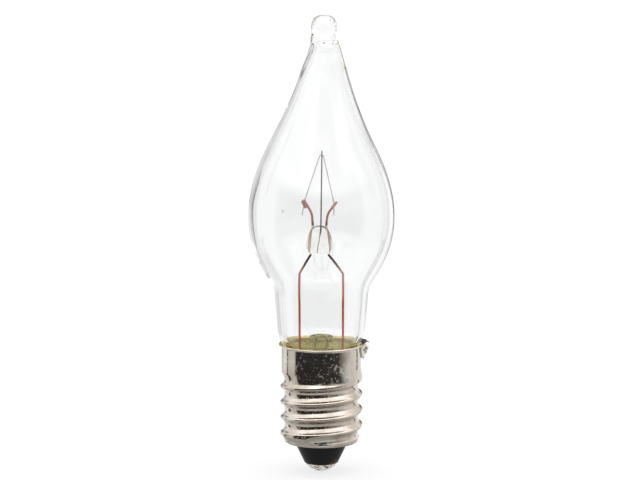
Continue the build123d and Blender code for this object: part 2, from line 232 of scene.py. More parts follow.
def mesh_object(name, mesh):
    """A Blender object in the scene, from points in millimetres and faces."""
    verts, faces = mesh
    data = bpy.data.meshes.new(name)
    data.from_pydata([tuple(MM * c for c in v) for v in verts], [], faces)
    obj = bpy.data.objects.new(name, data)
    bpy.context.scene.collection.objects.link(obj)
    return obj


def piece(name, mesh, materials, nodes):
    """A smooth object that rides on the part's body in the place of some of its solids."""
    obj = mesh_object(name, mesh)
    for material in materials:
        obj.data.materials.append(material)
    obj.data.polygons.foreach_set("use_smooth", [True] * len(obj.data.polygons))
    obj.data.update()
    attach(obj, "root")
    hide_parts(*nodes)
    return obj


# Shader nodes

def shader(name, **sockets):
    """A material with one Principled shader whose sockets are set by name."""
    material = bpy.data.materials.new(name)
    material.use_nodes = True
    bsdf = material.node_tree.nodes["Principled BSDF"]
    for key, value in sockets.items():
        bsdf.inputs[key.replace("_", " ")].default_value = value
    return material, bsdf


def node(material, kind, **values):
    """A node with its settings and inputs set by name."""
    n = material.node_tree.nodes.new(kind)
    for key, value in values.items():
        if hasattr(n, key):
            setattr(n, key, value)
        else:
            n.inputs[key.replace("_", " ")].default_value = value
    return n


def link(material, source, target):
    """Joins an output to an input."""
    material.node_tree.links.new(source, target)


def cloud(material, scale, detail):
    """Noise on the object's own coordinates, in features per metre."""
    coords = node(material, "ShaderNodeTexCoord")
    n = node(material, "ShaderNodeTexNoise", Scale=scale, Detail=detail)
    link(material, coords.outputs["Object"], n.inputs["Vector"])
    return n.outputs["Fac"]


def ramp(material, source, *stops):
    """Colours by the value of a source, as (position, colour) stops."""
    n = node(material, "ShaderNodeValToRGB")
    link(material, source, n.inputs["Fac"])
    band = n.color_ramp.elements
    while len(band) < len(stops):
        band.new(0.5)
    for element, (position, colour) in zip(band, stops):
        element.position = position
        element.color = (*colour, 1)
    return n.outputs["Color"]


def greys(material, source, *stops):
    """Greys by the value of a source, as (position, grey) stops."""
    return ramp(material, source, *[(at, (grey, grey, grey)) for at, grey in stops])


def spread(material, source, low, high, first=0.3, last=0.7):
    """A source's values between first and last, mapped to low and high."""
    n = node(material, "ShaderNodeMapRange", From_Min=first, From_Max=last, To_Min=low, To_Max=high)
    link(material, source, n.inputs["Value"])
    return n.outputs["Result"]


def combined(material, operation, first, second):
    """The result of a calculation on two sources, or on a source and a number."""
    n = node(material, "ShaderNodeMath", operation=operation)
    link(material, first, n.inputs[0])
    if isinstance(second, (int, float)):
        n.inputs[1].default_value = second
    else:
        link(material, second, n.inputs[1])
    return n.outputs[0]


def place_of(material, axis):
    """Where a point lies along an axis of the part, in metres."""
    coords = node(material, "ShaderNodeTexCoord")
    parts = node(material, "ShaderNodeSeparateXYZ")
    link(material, coords.outputs["Object"], parts.inputs["Vector"])
    return parts.outputs[axis]


def bumped(material, bsdf, height, strength, depth):
    """Relief from a height, in metres of depth."""
    n = node(material, "ShaderNodeBump", Strength=strength, Distance=depth)
    link(material, height, n.inputs["Height"])
    link(material, n.outputs["Normal"], bsdf.inputs["Normal"])


# Materials of the part

def glass_material(name, tint, bending):
    """Clear glass with faint waves."""
    m, b = shader(name, Base_Color=tint, Transmission_Weight=1.0, IOR=bending, Roughness=0.0)
    bumped(m, b, cloud(m, scale=130, detail=1.0), strength=0.05, depth=0.002)
    return m


def nickel_material():
    """Nickel plate with a cloudy tint, fine grain and dull specks."""
    m, b = shader("nickel_plate", Metallic=1.0)
    tint = ramp(m, cloud(m, scale=420, detail=4.0), (0.32, (0.53, 0.46, 0.39)), (0.5, (0.69, 0.615, 0.54)),
                (0.7, (0.78, 0.73, 0.67)))
    link(m, tint, b.inputs["Base Color"])
    grain = cloud(m, scale=2600, detail=6.0)
    specks = greys(m, cloud(m, scale=2900, detail=6.0), (0.3, 0.06), (0.54, 0.13), (0.7, 0.46))
    link(m, specks, b.inputs["Roughness"])
    bumped(m, b, grain, strength=0.2, depth=0.00003)
    return m


def brass_material(name, dark, light, roughness):
    """Plain brass, clouded between a dark and a light tint."""
    m, b = shader(name, Metallic=1.0)
    stain = cloud(m, scale=700, detail=4.0)
    link(m, ramp(m, stain, (0.35, dark), (0.65, light)), b.inputs["Base Color"])
    link(m, spread(m, stain, *roughness), b.inputs["Roughness"])
    return m


def vitrite_material():
    """Black glass with a brown burn at the right of its foot."""
    m, b = shader("black_vitrite", IOR=1.3)
    stain = cloud(m, scale=1500, detail=5.0)
    low = spread(m, place_of(m, "Z"), 1, 0, first=0.001, last=0.0021)
    right = spread(m, place_of(m, "X"), 0, 1, first=0.0, last=0.0014)
    burn = combined(m, "MULTIPLY", combined(m, "MULTIPLY", low, right), stain)
    tint = ramp(m, burn, (0.24, (0.006, 0.006, 0.007)), (0.4, (0.06, 0.028, 0.009)),
                (0.6, (0.30, 0.19, 0.07)))
    link(m, tint, b.inputs["Base Color"])
    link(m, spread(m, stain, 0.1, 0.32), b.inputs["Roughness"])
    bumped(m, b, cloud(m, scale=2400, detail=3.0), strength=0.2, depth=0.00005)
    return m


def solder_material():
    """Pale solder with dark pits, burnt dark where it stands above the rim."""
    m, b = shader("solder", Metallic=0.12)
    pits = cloud(m, scale=2200, detail=5.0)
    burn = spread(m, place_of(m, "Z"), 0, 0.3, first=0.01505, last=0.0153)
    tint = ramp(m, combined(m, "SUBTRACT", pits, burn), (0.38, (0.03, 0.022, 0.02)),
                (0.46, (0.60, 0.55, 0.48)), (0.66, (0.88, 0.85, 0.79)))
    link(m, tint, b.inputs["Base Color"])
    link(m, spread(m, pits, 0.5, 0.22), b.inputs["Roughness"])
    bumped(m, b, pits, strength=0.6, depth=0.0001)
    return m


def lead_material():
    """Oxidised copper, whose tint changes up the lead: red, orange, black, pale in the bead, dull red."""
    m, b = shader("copper_lead", Metallic=0.12, Roughness=0.35, Specular_IOR_Level=0.25)
    height = spread(m, place_of(m, "Z"), 0, 1, first=0.013, last=0.033)
    tint = ramp(m, height, (0.0, (0.72, 0.23, 0.20)), (0.15, (0.72, 0.22, 0.20)), (0.2, (0.66, 0.22, 0.19)),
                (0.25, (0.52, 0.15, 0.045)), (0.33, (0.52, 0.155, 0.04)), (0.38, (0.60, 0.21, 0.08)),
                (0.43, (0.62, 0.23, 0.18)), (0.49, (0.72, 0.30, 0.28)), (0.53, (0.60, 0.36, 0.30)),
                (0.56, (0.14, 0.10, 0.095)), (0.6, (0.07, 0.045, 0.045)), (0.617, (0.07, 0.045, 0.045)),
                (0.625, (0.95, 0.84, 0.78)), (0.67, (0.95, 0.80, 0.72)), (0.7, (0.86, 0.58, 0.46)),
                (0.75, (0.80, 0.55, 0.42)), (0.786, (0.92, 0.74, 0.60)), (0.79, (0.17, 0.13, 0.125)),
                (0.803, (0.17, 0.13, 0.125)), (0.815, (0.46, 0.22, 0.21)), (0.93, (0.52, 0.26, 0.24)))
    link(m, tint, b.inputs["Base Color"])
    bumped(m, b, cloud(m, scale=5200, detail=3.0), strength=0.3, depth=0.00003)
    return m


def tungsten_material():
    """Grey wire, clouded from dark to light."""
    m, b = shader("tungsten_coil", Metallic=1.0, Roughness=0.3)
    tint = ramp(m, cloud(m, scale=1500, detail=3.0), (0.35, (0.30, 0.29, 0.28)), (0.65, (0.52, 0.51, 0.49)))
    link(m, tint, b.inputs["Base Color"])
    return m


def support_material():
    """Dark wire that turns pale grey inside the bead."""
    m, b = shader("support_metal", Metallic=0.6)
    height = spread(m, place_of(m, "Z"), 0, 1, first=0.0272, last=0.028)
    tint = ramp(m, height, (0.0, (0.52, 0.49, 0.46)), (1.0, (0.13, 0.10, 0.09)))
    link(m, tint, b.inputs["Base Color"])
    link(m, spread(m, cloud(m, scale=1500, detail=3.0), 0.25, 0.5), b.inputs["Roughness"])
    return m


def cement_material():
    """Rough golden cement."""
    m, b = shader("cement", Roughness=0.9)
    crumbs = cloud(m, scale=1800, detail=6.0)
    tint = ramp(m, crumbs, (0.3, (0.82, 0.62, 0.13)), (0.5, (1.0, 0.87, 0.26)), (0.72, (1.0, 0.95, 0.48)))
    link(m, tint, b.inputs["Base Color"])
    bumped(m, b, crumbs, strength=0.8, depth=0.0002)
    return m


CLEAR = glass_material("clear_glass", (0.962, 0.968, 0.965, 1), 1.5)
BEAD_GLASS = glass_material("bead_glass", (0.985, 0.97, 0.95, 1), 1.33)
NICKEL = nickel_material()
INSIDE = brass_material("plain_brass", (0.80, 0.63, 0.18), (1.0, 0.87, 0.38), (0.25, 0.5))
VITRITE = vitrite_material()
SOLDER = solder_material()
COPPER = lead_material()
TUNGSTEN = tungsten_material()
SUPPORT_METAL = support_material()
CEMENT = cement_material()


# Glass body: the envelope with its drawn tip, and the exhaust tube fused into its floor
GLASS_SIDES = 160
TIP_RUN, CAVITY_RUN = (-0.4, 1.3), (-0.5, 1)
TIP_LEAN, LEAN_FROM, LEAN_OVER = 0.3, 38.0, 9.0

# Dents of the tip, each with its depth and a span: low end, length of rise, high end, length of fall
NICK, NICK_SPAN, NICK_SHARPNESS = 0.17, (49.95, 0.4, 51.2, 0.15), 1.5
SET_IN, SET_IN_SPAN = 0.18, (46.5, 2.5, 50.7, 1.2)
FILL, FILL_SPAN = 0.06, (50.7, 0.4, 51.5, 0.3)

# Lumps of the tip's bead as (height, fineness), waves of the cavity and the shift of its top
LUMPY_FROM, LUMPY_OVER, CROWN, CROWN_GROWTH = 51.1, 0.5, 0.2, 0.03
BEAD_LUMPS = [(0.035, 2.3), (0.025, 5.5), (0.012, 11)]
WAVE, WAVES_ACROSS, WAVES_UP, WAVES_FROM = 0.005, 0.16, 0.11, FLOOR_Z + 2
CAVITY_SHIFT, SHIFT_FROM, SHIFT_OVER = 0.3, 45.5, 3
SQUARENESS, CAVITY_SHARE = 0.77, 0.92
TUBE_FOOT, FOOT_ROUND, FOOT_DROP, FOOT_ROUND_IN, FOOT_LIFT_IN = 1.78, 0.36, 0.34, 0.32, 0.36

# Straight run of the exhaust tube, and drops of its lip and its bore below their ends
STRAIGHT_LOW, STRAIGHT_HIGH = TUBE_END + 0.3, FLOOR_Z - 0.4
FLARE_DROP, TUBE_LIP_DROP, BORE_DROP = 0.08, 0.04, 0.1


def tip_shift(z):
    """How far the drawn tip leans to the right at a height."""
    return TIP_LEAN * smooth((z - LEAN_FROM) / LEAN_OVER)


def outside_place(v):
    """Leans the drawn tip, straightens its left side, nicks the right one and makes the bead uneven."""
    across = math.cos(math.atan2(v.y, v.x))
    nick = NICK * hump(v.z, *NICK_SPAN) * max(0.0, across) ** NICK_SHARPNESS
    set_in = SET_IN * hump(v.z, *SET_IN_SPAN)
    fill = FILL * hump(v.z, *FILL_SPAN)
    dent = nick + (set_in - fill) * max(0.0, -across)
    in_bead = min(1.0, max(0.0, (v.z - LUMPY_FROM) / LUMPY_OVER))
    lump = in_bead * lumps(v, *BEAD_LUMPS)
    r = math.hypot(v.x, v.y)
    scale = 1 + (lump - dent) / r if r > CROWN else 1 + in_bead * CROWN_GROWTH
    lift = lump * min(1.0, v.z - TIP_WAIST_Z)
    return Vector((v.x * scale + tip_shift(v.z), v.y * scale, v.z + lift))


def inside_place(v):
    """Makes the cavity slightly uneven and runs its top out to the right of the tip."""
    waves = noise.noise(Vector((WAVES_ACROSS * v.x, WAVES_ACROSS * v.y, WAVES_UP * v.z)))
    grow = 1 + WAVE * waves * (v.z > WAVES_FROM)
    run_out = CAVITY_SHIFT * smooth((v.z - SHIFT_FROM) / SHIFT_OVER)
    return Vector((v.x * grow + tip_shift(v.z) + run_out, v.y * grow, v.z))


neck_along = (math.sin(LEAN), math.cos(LEAN))
neck_angle = -math.degrees(LEAN)
flame = spline(FLAME, neck_along, TIP_RUN, per_span=20)
neck_low = arc(CORNER_R, CORNER_Z, CORNER, neck_angle, neck_angle, 1)[0]
neck = line(neck_low, FLAME[0], 14)[1:-1]
waist_angle = math.atan2(TIP_WAIST_Z - TIP_BEAD_Z, TIP_WAIST)
bead_low = [(TIP_BEAD * math.cos(a), TIP_BEAD_Z + TIP_BEAD * math.sin(a))
            for a in np.linspace(waist_angle, 0, 12)[1:]]
bead_high = [(TIP_BEAD * math.cos(a) ** SQUARENESS, TIP_BEAD_Z + TIP_BEAD * math.sin(a) ** SQUARENESS)
             for a in np.linspace(0, math.pi / 2, 40)[1:-1]]
foot_angle = -math.degrees(math.acos((TUBE_FOOT - CORNER_R) / CORNER))
outside = ([(0, TUBE_END - TUBE)] + arc(0, TUBE_END, TUBE, -80, 0, 10)
           + line((TUBE, STRAIGHT_LOW), (TUBE, STRAIGHT_HIGH), 8)
           + arc(TUBE + FOOT_ROUND, FLOOR_Z - FOOT_DROP, FOOT_ROUND, 175, 98, 7)
           + arc(CORNER_R, CORNER_Z, CORNER, foot_angle, neck_angle, 30) + neck
           + [tuple(p) for p in flame] + bead_low + bead_high + [(0, TIP_BEAD_Z + TIP_BEAD)])

flame_in = inward(flame, WALL)[:int(CAVITY_SHARE * len(flame))]
cavity_top = (0.0, TIP_WAIST_Z - TIP_THICKNESS)
cavity = spline(list(flame_in[::6]) + [cavity_top], neck_along, CAVITY_RUN, per_span=6)
inner_corner = CORNER - WALL
cavity_low = arc(CORNER_R, CORNER_Z, inner_corner, neck_angle, neck_angle, 1)[0]
cavity_neck = line(tuple(cavity[0]), cavity_low, 14)[1:-1]
floor_in = FLOOR_Z + WALL
tube_half = (TUBE - BORE) / 2
tube_top = floor_in + TUBE_RISE
flare_round = (TUBE_RISE**2 + TUBE_FLARE**2) / (2 * TUBE_FLARE)
tube_wall = [(TUBE + flare_round - math.sqrt(flare_round**2 - (z - floor_in) ** 2), z)
             for z in np.linspace(floor_in, tube_top - FLARE_DROP, 18)]
foot_in = -math.degrees(math.acos((TUBE_FOOT - CORNER_R) / inner_corner))
inside = ([(0, cavity_top[1])] + [tuple(p) for p in cavity[-2::-1]] + cavity_neck
          + arc(CORNER_R, CORNER_Z, inner_corner, neck_angle, foot_in, 26)
          + arc(TUBE + FOOT_ROUND_IN, floor_in + FOOT_LIFT_IN, FOOT_ROUND_IN, 265, 185, 7)
          + tube_wall[2:]
          + arc(TUBE + TUBE_FLARE - tube_half, tube_top - TUBE_LIP_DROP, tube_half, 10, 170, 9)
          + [(r - 2 * tube_half, z) for r, z in tube_wall[::-1]]
          + line((BORE, floor_in - BORE_DROP), (BORE, TUBE_END), 8)
          + arc(0, TUBE_END, BORE, 0, -80, 8)[1:] + [(0, TUBE_END - BORE)])

# A small gas seed in the wall, left of the filament
SEED, SEED_WIDTH, SEED_DEPTH = 0.16, 0.8, 0.5
SEED_AT = Vector((-4.3, -6.78, 31.5))


def seed_place(v):
    """Flattens a ball into the seed and puts it in the wall."""
    return Vector((v.x * SEED_WIDTH, v.y * SEED_DEPTH, v.z)) + SEED_AT


seed_profile = [(0, SEED)] + arc(0, 0, SEED, 75, -75, 9) + [(0, -SEED)]
glass = joined(revolved(outside, GLASS_SIDES, outside_place), revolved(inside, GLASS_SIDES, inside_place),
               revolved(seed_profile, segments=14, place=seed_place))
piece("envelope", glass, [CLEAR], ["glass_envelope", "exhaust_tube"])

# Screw shell: a turned sheet with the helical groove rolled into it
SHELL_SIDES = 168
FLANK = 2 * math.atan(2 * DEPTH / PITCH)
CREST_ROUND = 0.22
ROOT_ROUND = PITCH / (2 * math.sin(FLANK)) - CREST_ROUND
TURN = 2 * math.pi
LAST_TURN = TURN * (GROOVE_HIGH - GROOVE_LOW) / PITCH
RUN_IN, RUN_OUT, FADE_FROM, RIDGE_FADE = 0.8, 0.2, 3.6, 1.9
THREAD_FOOT = BASE_Z + 0.3
BULGE_LOW, BULGE_HIGH, TOP_FLANK = 10.8, 12.4, 0.8
CURL_LOW, CURL_HIGH, LIP, LIP_IN, LIP_ROUND = 14.6, 14.78, 4.93, 4.66, 0.135
OUTER_STEP, INNER_STEP, PLATED_LIP_RINGS = 0.045, 0.12, 5


def groove_depth(off):
    """Depth of the groove under its crests, at a distance from its middle."""
    off = abs(off)
    if off > PITCH / 2:
        return 0.0
    if off < ROOT_ROUND * math.sin(FLANK):
        return DEPTH - ROOT_ROUND + math.sqrt(ROOT_ROUND**2 - off**2)
    return CREST_ROUND - math.sqrt(max(0.0, CREST_ROUND**2 - (PITCH / 2 - off) ** 2))


def threaded(z, top):
    """Radius at a height, where top is the highest turn of the groove above this side of the shell."""
    share = 1 - smooth((top - LAST_TURN + FADE_FROM) / (FADE_FROM + RUN_OUT))
    middle = GROOVE_LOW + PITCH * top / TURN
    root = CREST - share * DEPTH
    if z > middle:
        return root + (SKIRT - root) * smooth((z - middle) / TOP_FLANK)
    r = CREST - share * groove_depth(z - middle)
    below = top - TURN
    while below > -RUN_IN:
        depth = groove_depth(z - GROOVE_LOW - PITCH * below / TURN)
        r = min(r, CREST - depth + CREST * (1 / math.cos(max(0.0, -below)) - 1))
        below -= TURN
    return r


def thread_radius(z, angle):
    """Radius of the threaded sheet at a height, on one side of the shell."""
    top = (angle - GROOVE_ANGLE - LAST_TURN - RIDGE_FADE) % TURN + LAST_TURN + RIDGE_FADE - TURN
    r = threaded(z, top)
    if top > LAST_TURN:
        share = smooth((top - LAST_TURN) / RIDGE_FADE)
        r += share * (threaded(z, top - TURN) - r)
    return r


def curl(z, stand):
    """How far the rim has curled out at a height, for a lip that stands out by a distance."""
    rise = CURL_HIGH - CURL_LOW
    radius = (rise**2 + stand**2) / (2 * stand)
    up = min(rise, max(0.0, z - CURL_LOW))
    return radius - math.sqrt(radius**2 - up**2)


def shell_profile(inset, step):
    """Half section of the sheet without its thread, from the base to the rim."""
    bend = HEEL_BEND + SHEET - inset
    base = BASE_Z + inset
    heel = HEEL - inset
    stand = LIP - SKIRT if inset == 0 else LIP_IN - SKIRT + SHEET
    points = [(r, base) for r in np.linspace(INSULATOR, heel - bend, 6)]
    points += arc(heel - bend, base + bend, bend, -90, 0, 8)[1:]
    corners = [points[-1], (heel, HEEL_Z), (CREST - inset, CREST_LOW), (CREST - inset, CURL_LOW)]
    for a, b in zip(corners, corners[1:]):
        count = max(1, round(math.dist(a, b) / step))
        points += line(a, b, count + 1)[1:]
    bulge = CREST - SKIRT
    points = [(r - bulge * smooth((z - BULGE_LOW) / (BULGE_HIGH - BULGE_LOW)), z) for r, z in points]
    return points + [(SKIRT - inset + curl(z, stand), z) for z in np.linspace(CURL_LOW, CURL_HIGH, 13)[1:]]


def shell_rows(profile, inset):
    """Rings of the sheet's surface with the thread pressed in."""
    rows = []
    for r, z in profile:
        ring = []
        for j in range(SHELL_SIDES):
            a = TURN * j / SHELL_SIDES
            s = min(r, thread_radius(z, a) - inset) if THREAD_FOOT < z < SKIRT_BAND else r
            ring.append((s * math.cos(a), s * math.sin(a), z))
        rows.append(ring)
    return rows


outer = shell_profile(0, OUTER_STEP)
inner = shell_profile(SHEET, INNER_STEP)
lip_profile = arc((LIP + LIP_IN) / 2, RIM_Z - LIP_ROUND, LIP_ROUND, 0, 180, 13)
shell_rings = shell_rows(outer, 0) + shell_rows(lip_profile, 0) + shell_rows(inner[::-1], SHEET)
shell_verts = [v for ring in shell_rings for v in ring]
shell_faces = strips(len(shell_rings), SHELL_SIDES, closed=True)
shell = piece("screw_shell_rolled", (shell_verts, shell_faces), [NICKEL, INSIDE], ["screw_shell"])
plated = (len(outer) + PLATED_LIP_RINGS) * SHELL_SIDES
bare = [int(i >= plated) for i in range(len(shell_faces))]
shell.data.polygons.foreach_set("material_index", bare)

# Notch in the rim, through which the side lead comes out
NOTCH, NOTCH_FROM, NOTCH_TO, NOTCH_HEIGHT = 0.195, 3.9, 5.3, 1.2
SIDE_X = WAIST - SHEET - LEAD - RIM_GAP
SIDE_Z = CORNER_Z - math.sqrt((CORNER + LEAD + RIM_GAP) ** 2 - (SIDE_X - CORNER_R) ** 2)
slot_verts, slot_faces = tube([Vector((x, 0, SIDE_Z)) for x in (NOTCH_FROM, NOTCH_TO)], NOTCH, sides=20)
slot_verts = [Vector((v.x, v.y, v.z + (NOTCH_HEIGHT if v.z > SIDE_Z else 0))) for v in slot_verts]
cutter = mesh_object("notch", (slot_verts, slot_faces))
cut = shell.modifiers.new("notch", "BOOLEAN")
cut.operation, cut.solver, cut.object = "DIFFERENCE", "EXACT", cutter
bpy.context.view_layer.update()
shell.data = bpy.data.meshes.new_from_object(shell.evaluated_get(bpy.context.evaluated_depsgraph_get()))
shell.modifiers.clear()
bpy.data.objects.remove(cutter)

# Lead wires: copper-clad, with hooked ends that clamp the filament
elbow_z = BEAD_TOP + ELBOW_RISE
left_elbow = Vector((LEFT_ELBOW_X, 0, elbow_z))
left_top = Vector((LEFT_HOOK_X, 0, elbow_z + LEFT_HOOK_RISE))
left_run = (left_top - left_elbow).normalized()
left_fold = (2 * LEAD + 2 * CLEARANCE) * Vector((-left_run.z, 0, left_run.x))
left_route = [(0, 0, CONTACT_HEIGHT / 2), (0, 0, CONTACT_LEAD_Z), (-LEAD_SPREAD, 0, CONTACT_LEAD_TOP),
              (-LEAD_SPREAD, 0, KNEE_Z), (BEAD_X - LEAD_EXIT, 0, BEAD_Z),
              (BEAD_X - LEAD_ENTRY, 0, BEAD_TOP), left_elbow, left_top, left_top + left_fold,
              left_top + left_fold - HOOK_LEG * left_run]
left_path = bent(left_route, [LEAD_BEND] * 5 + [ELBOW_BEND] + [LEFT_HOOK_BEND] * 2)
piece("lead_left", tube(left_path, LEAD), [COPPER], ["lead_wire_left"])

right_elbow = Vector((RIGHT_ELBOW_X, -COIL_Y, elbow_z))
right_top = Vector((RIGHT_HOOK_X, -COIL_Y, elbow_z + RIGHT_HOOK_RISE))
right_run = (right_top - right_elbow).normalized()
right_fold = Vector((0, 2 * COIL_Y, 0))
side_low = FLOOR_Z - SIDE_LEAD_DROP
right_route = [(SIDE_LEAD_END, 0, SIDE_Z), (SIDE_X, 0, SIDE_Z), (SIDE_X, 0, side_low),
               (LEAD_SPREAD, 0, side_low), (LEAD_SPREAD, 0, KNEE_Z), (BEAD_X + LEAD_EXIT, 0, BEAD_Z),
               (BEAD_X + LEAD_ENTRY, 0, BEAD_TOP), right_elbow, right_top, right_top + right_fold,
               right_top + right_fold - HOOK_LEG * right_run]
right_bends = [SIDE_LEAD_BEND] * 2 + [LEAD_BEND] * 4 + [ELBOW_BEND] + [RIGHT_HOOK_BEND] * 2
right_path = bent(right_route, right_bends)
piece("lead_right", tube(right_path, LEAD), [COPPER], ["lead_wire_right"])

# Filament: one fine wire wound as a close coil, with straight tails below the hooks
WIRE, WINDING, PER_WINDING = 0.016, 0.068, 10
clamp_z = elbow_z + CLAMP_RISE
arch_z = clamp_z + ARCH_RISE
tail_z = clamp_z - TAIL_LENGTH
coil_route = [(LEFT_CLAMP_X - TAIL_DRIFT, COIL_Y, tail_z), (LEFT_CLAMP_X, COIL_Y, clamp_z),
              (SUPPORT_X, 0, arch_z), (RIGHT_CLAMP_X, 0, clamp_z), (RIGHT_CLAMP_X, 0, tail_z)]
coil_line = bent(coil_route, [COIL_BEND] * 3, step=0.02)
marks = np.cumsum([0] + [(b - a).length for a, b in zip(coil_line, coil_line[1:])])
coil_axes = frames(coil_line)
coil = []
for s in np.arange(0, marks[-1], WINDING / PER_WINDING):
    i = min(len(coil_line) - 2, int(np.searchsorted(marks, s, "right")) - 1)
    t = (s - marks[i]) / (marks[i + 1] - marks[i])
    (u, v), (next_u, next_v) = coil_axes[i], coil_axes[i + 1]
    u, v = u.lerp(next_u, t), v.lerp(next_v, t)
    angle = 2 * math.pi * s / WINDING
    middle = coil_line[i].lerp(coil_line[i + 1], t)
    coil.append(middle + (COIL - WIRE) * (math.cos(angle) * u + math.sin(angle) * v))
piece("filament_coil", tube(coil, WIRE, sides=5), [TUNGSTEN], ["filament"])

# Support wire, hooked under the arch of the filament, with its foot leaning to the left in the bead
FOOT_LEAN, FOOT_BEND, FOOT_TURN_X, FOOT_TURN_DROP = 0.2, 1.0, -0.07, 0.3
THINNING, THIN_BELOW, THIN_OVER = 0.55, 0.8, 0.6
left_slope = (SUPPORT_X - LEFT_CLAMP_X) / ARCH_RISE
right_slope = (RIGHT_CLAMP_X - SUPPORT_X) / ARCH_RISE
arch_half = (math.atan(left_slope) + math.atan(right_slope)) / 2
support_z = arch_z - COIL_BEND * (1 / math.sin(arch_half) - 1) - COIL - CLEARANCE - SUPPORT


def thinned(p):
    """Share of the wire's radius at a point: it is drawn thin inside the bead."""
    return 1 - THINNING * smooth((BEAD_TOP - THIN_BELOW - p.z) / THIN_OVER)


support_route = [(BEAD_X - FOOT_LEAN, 0, BEAD_TOP - SUPPORT_DEPTH),
                 (FOOT_TURN_X, 0, BEAD_TOP - FOOT_TURN_DROP),
                 (SUPPORT_X, 0, support_z - SUPPORT_SWING),
                 (SUPPORT_X, SUPPORT_SIDE, support_z),
                 (SUPPORT_X, -SUPPORT_SIDE, support_z),
                 (SUPPORT_X, -SUPPORT_SIDE, support_z + SUPPORT_SPIKE)]
support_path = bent(support_route, [FOOT_BEND] + [SUPPORT_BEND] * 3, step=0.03)
support = tube(support_path, SUPPORT, sides=14, shape=thinned)
piece("support", support, [SUPPORT_METAL], ["support_wire"])

# Bead: a drop of glass melted round the three wires
BEAD_SIDE = [(0.0, 0.0), (0.6, 0.03), (1.12, 0.2), (1.38, 0.62), (1.45, 1.2), (1.40, 1.75), (1.27, 2.3)]
BEAD_DOME = [(1.08, 0.6), (0.84, 0.27), (0.48, 0.06), (0.0, 0.0)]
BEAD_LUMP, BEAD_ACROSS, BEAD_UP = 0.045, 0.7, 0.55
TURNED_SIDES = 96


def bead_place(v):
    """Makes the bead a little uneven and puts it round the wires."""
    lump = 1 + BEAD_LUMP * noise.noise(Vector((BEAD_ACROSS * v.x, BEAD_ACROSS * v.y, BEAD_UP * v.z)))
    return Vector((v.x * lump + BEAD_X, v.y * lump, v.z))


bead_points = [(r, BEAD_Z + up) for r, up in BEAD_SIDE] + [(r, BEAD_TOP - down) for r, down in BEAD_DOME]
bead_outline = [tuple(p) for p in spline(bead_points, (1, 0), (-1, 0), per_span=8)]
drop = revolved(bead_outline, TURNED_SIDES, bead_place)
piece("bead", drop, [BEAD_GLASS], ["mount_bead"])

# Insulator: a cone below the shell, with a flange inside it and a bore for the lead
FLANGE, FLANGE_Z, FLANGE_BEVEL, INSULATOR_BORE, DRAFT = 3.95, 3.66, 0.1, 0.76, 0.01
CONE_TOP_Z, CONE_SHOULDER_Z, CONE_TIP, CONE_TIP_Z = 3.39, 3.42, 1.96, 1.03
EDGE_R, EDGE_Z, EDGE_ROUND = 1.85, 1.05, 0.1
EYELET_SEAT, EYELET_SEAT_Z, SOLDER_SEAT, SOLDER_SEAT_Z = 1.61, 1.205, 1.8, 0.952
insulator = [(INSULATOR_BORE, EYELET_SEAT_Z), (EYELET_SEAT, EYELET_SEAT_Z),
             (EYELET_SEAT + DRAFT, SOLDER_SEAT_Z)]
insulator += arc(EDGE_R, EDGE_Z, EDGE_ROUND, -90, -25, 5)
insulator += line((CONE_TIP, CONE_TIP_Z), (INSULATOR - 2 * DRAFT, CONE_TOP_Z), 12)
insulator += [(INSULATOR - DRAFT, CONE_SHOULDER_Z), (INSULATOR, FLANGE_Z), (FLANGE, FLANGE_Z),
              (FLANGE, INSULATOR_TOP - FLANGE_BEVEL), (FLANGE - FLANGE_BEVEL, INSULATOR_TOP),
              (INSULATOR_BORE, INSULATOR_TOP)]
cone = revolved(insulator + [insulator[0]], TURNED_SIDES)
piece("insulator_cone", cone, [VITRITE], ["insulator"])

# Contact solder: an uneven dome, with a plug that fills the eyelet
DOME_LUMPS = [(0.05, 1.3), (0.02, 4)]
PLUG, PLUG_TOP = 0.5, 1.55
DOME_ROUND = (DOME_RADIUS**2 + CONTACT_HEIGHT**2) / (2 * CONTACT_HEIGHT)


def dome_place(v):
    """Makes the dome uneven, the more so the lower it is."""
    low = max(0.0, CONTACT_HEIGHT - v.z) / CONTACT_HEIGHT
    return Vector((v.x, v.y, max(0.0, v.z + lumps(v, *DOME_LUMPS) * low)))


dome_end = -90 + math.degrees(math.asin(DOME_RADIUS / DOME_ROUND))
dome = [(0, 0)] + arc(0, DOME_ROUND, DOME_ROUND, -90, dome_end, 22)[1:]
dome += [(SOLDER_SEAT, SOLDER_SEAT_Z), (PLUG, SOLDER_SEAT_Z), (PLUG - DRAFT, PLUG_TOP), (0, PLUG_TOP)]
contact = revolved(dome, TURNED_SIDES, dome_place)
piece("contact_solder", contact, [SOLDER], ["tip_solder"])

# Cement: a ring that reaches a little into the rounded floor of the glass
CEMENT_REACH, CEMENT_FOOT, CEMENT_SIDE, CEMENT_BEVEL_Z, CEMENT_LIP = 0.02, 3.9, 4.34, 12.5, 4.31
touch = CORNER - CEMENT_REACH
seat_from = -math.degrees(math.asin((CORNER_Z - CEMENT_TOP) / touch))
seat_to = -math.degrees(math.acos((CEMENT_BORE - CORNER_R) / touch))
cement = [(CEMENT_BORE, CEMENT_LOW), (CEMENT_FOOT, CEMENT_LOW), (CEMENT_SIDE, CEMENT_BEVEL_Z),
          (CEMENT_SIDE, SKIRT_BAND), (CEMENT_LIP, CEMENT_TOP)]
cement += arc(CORNER_R, CORNER_Z, touch, seat_from, seat_to, 10)
ring = revolved(cement + [cement[0]], TURNED_SIDES)
piece("cement_ring", ring, [CEMENT], ["basing_cement"])

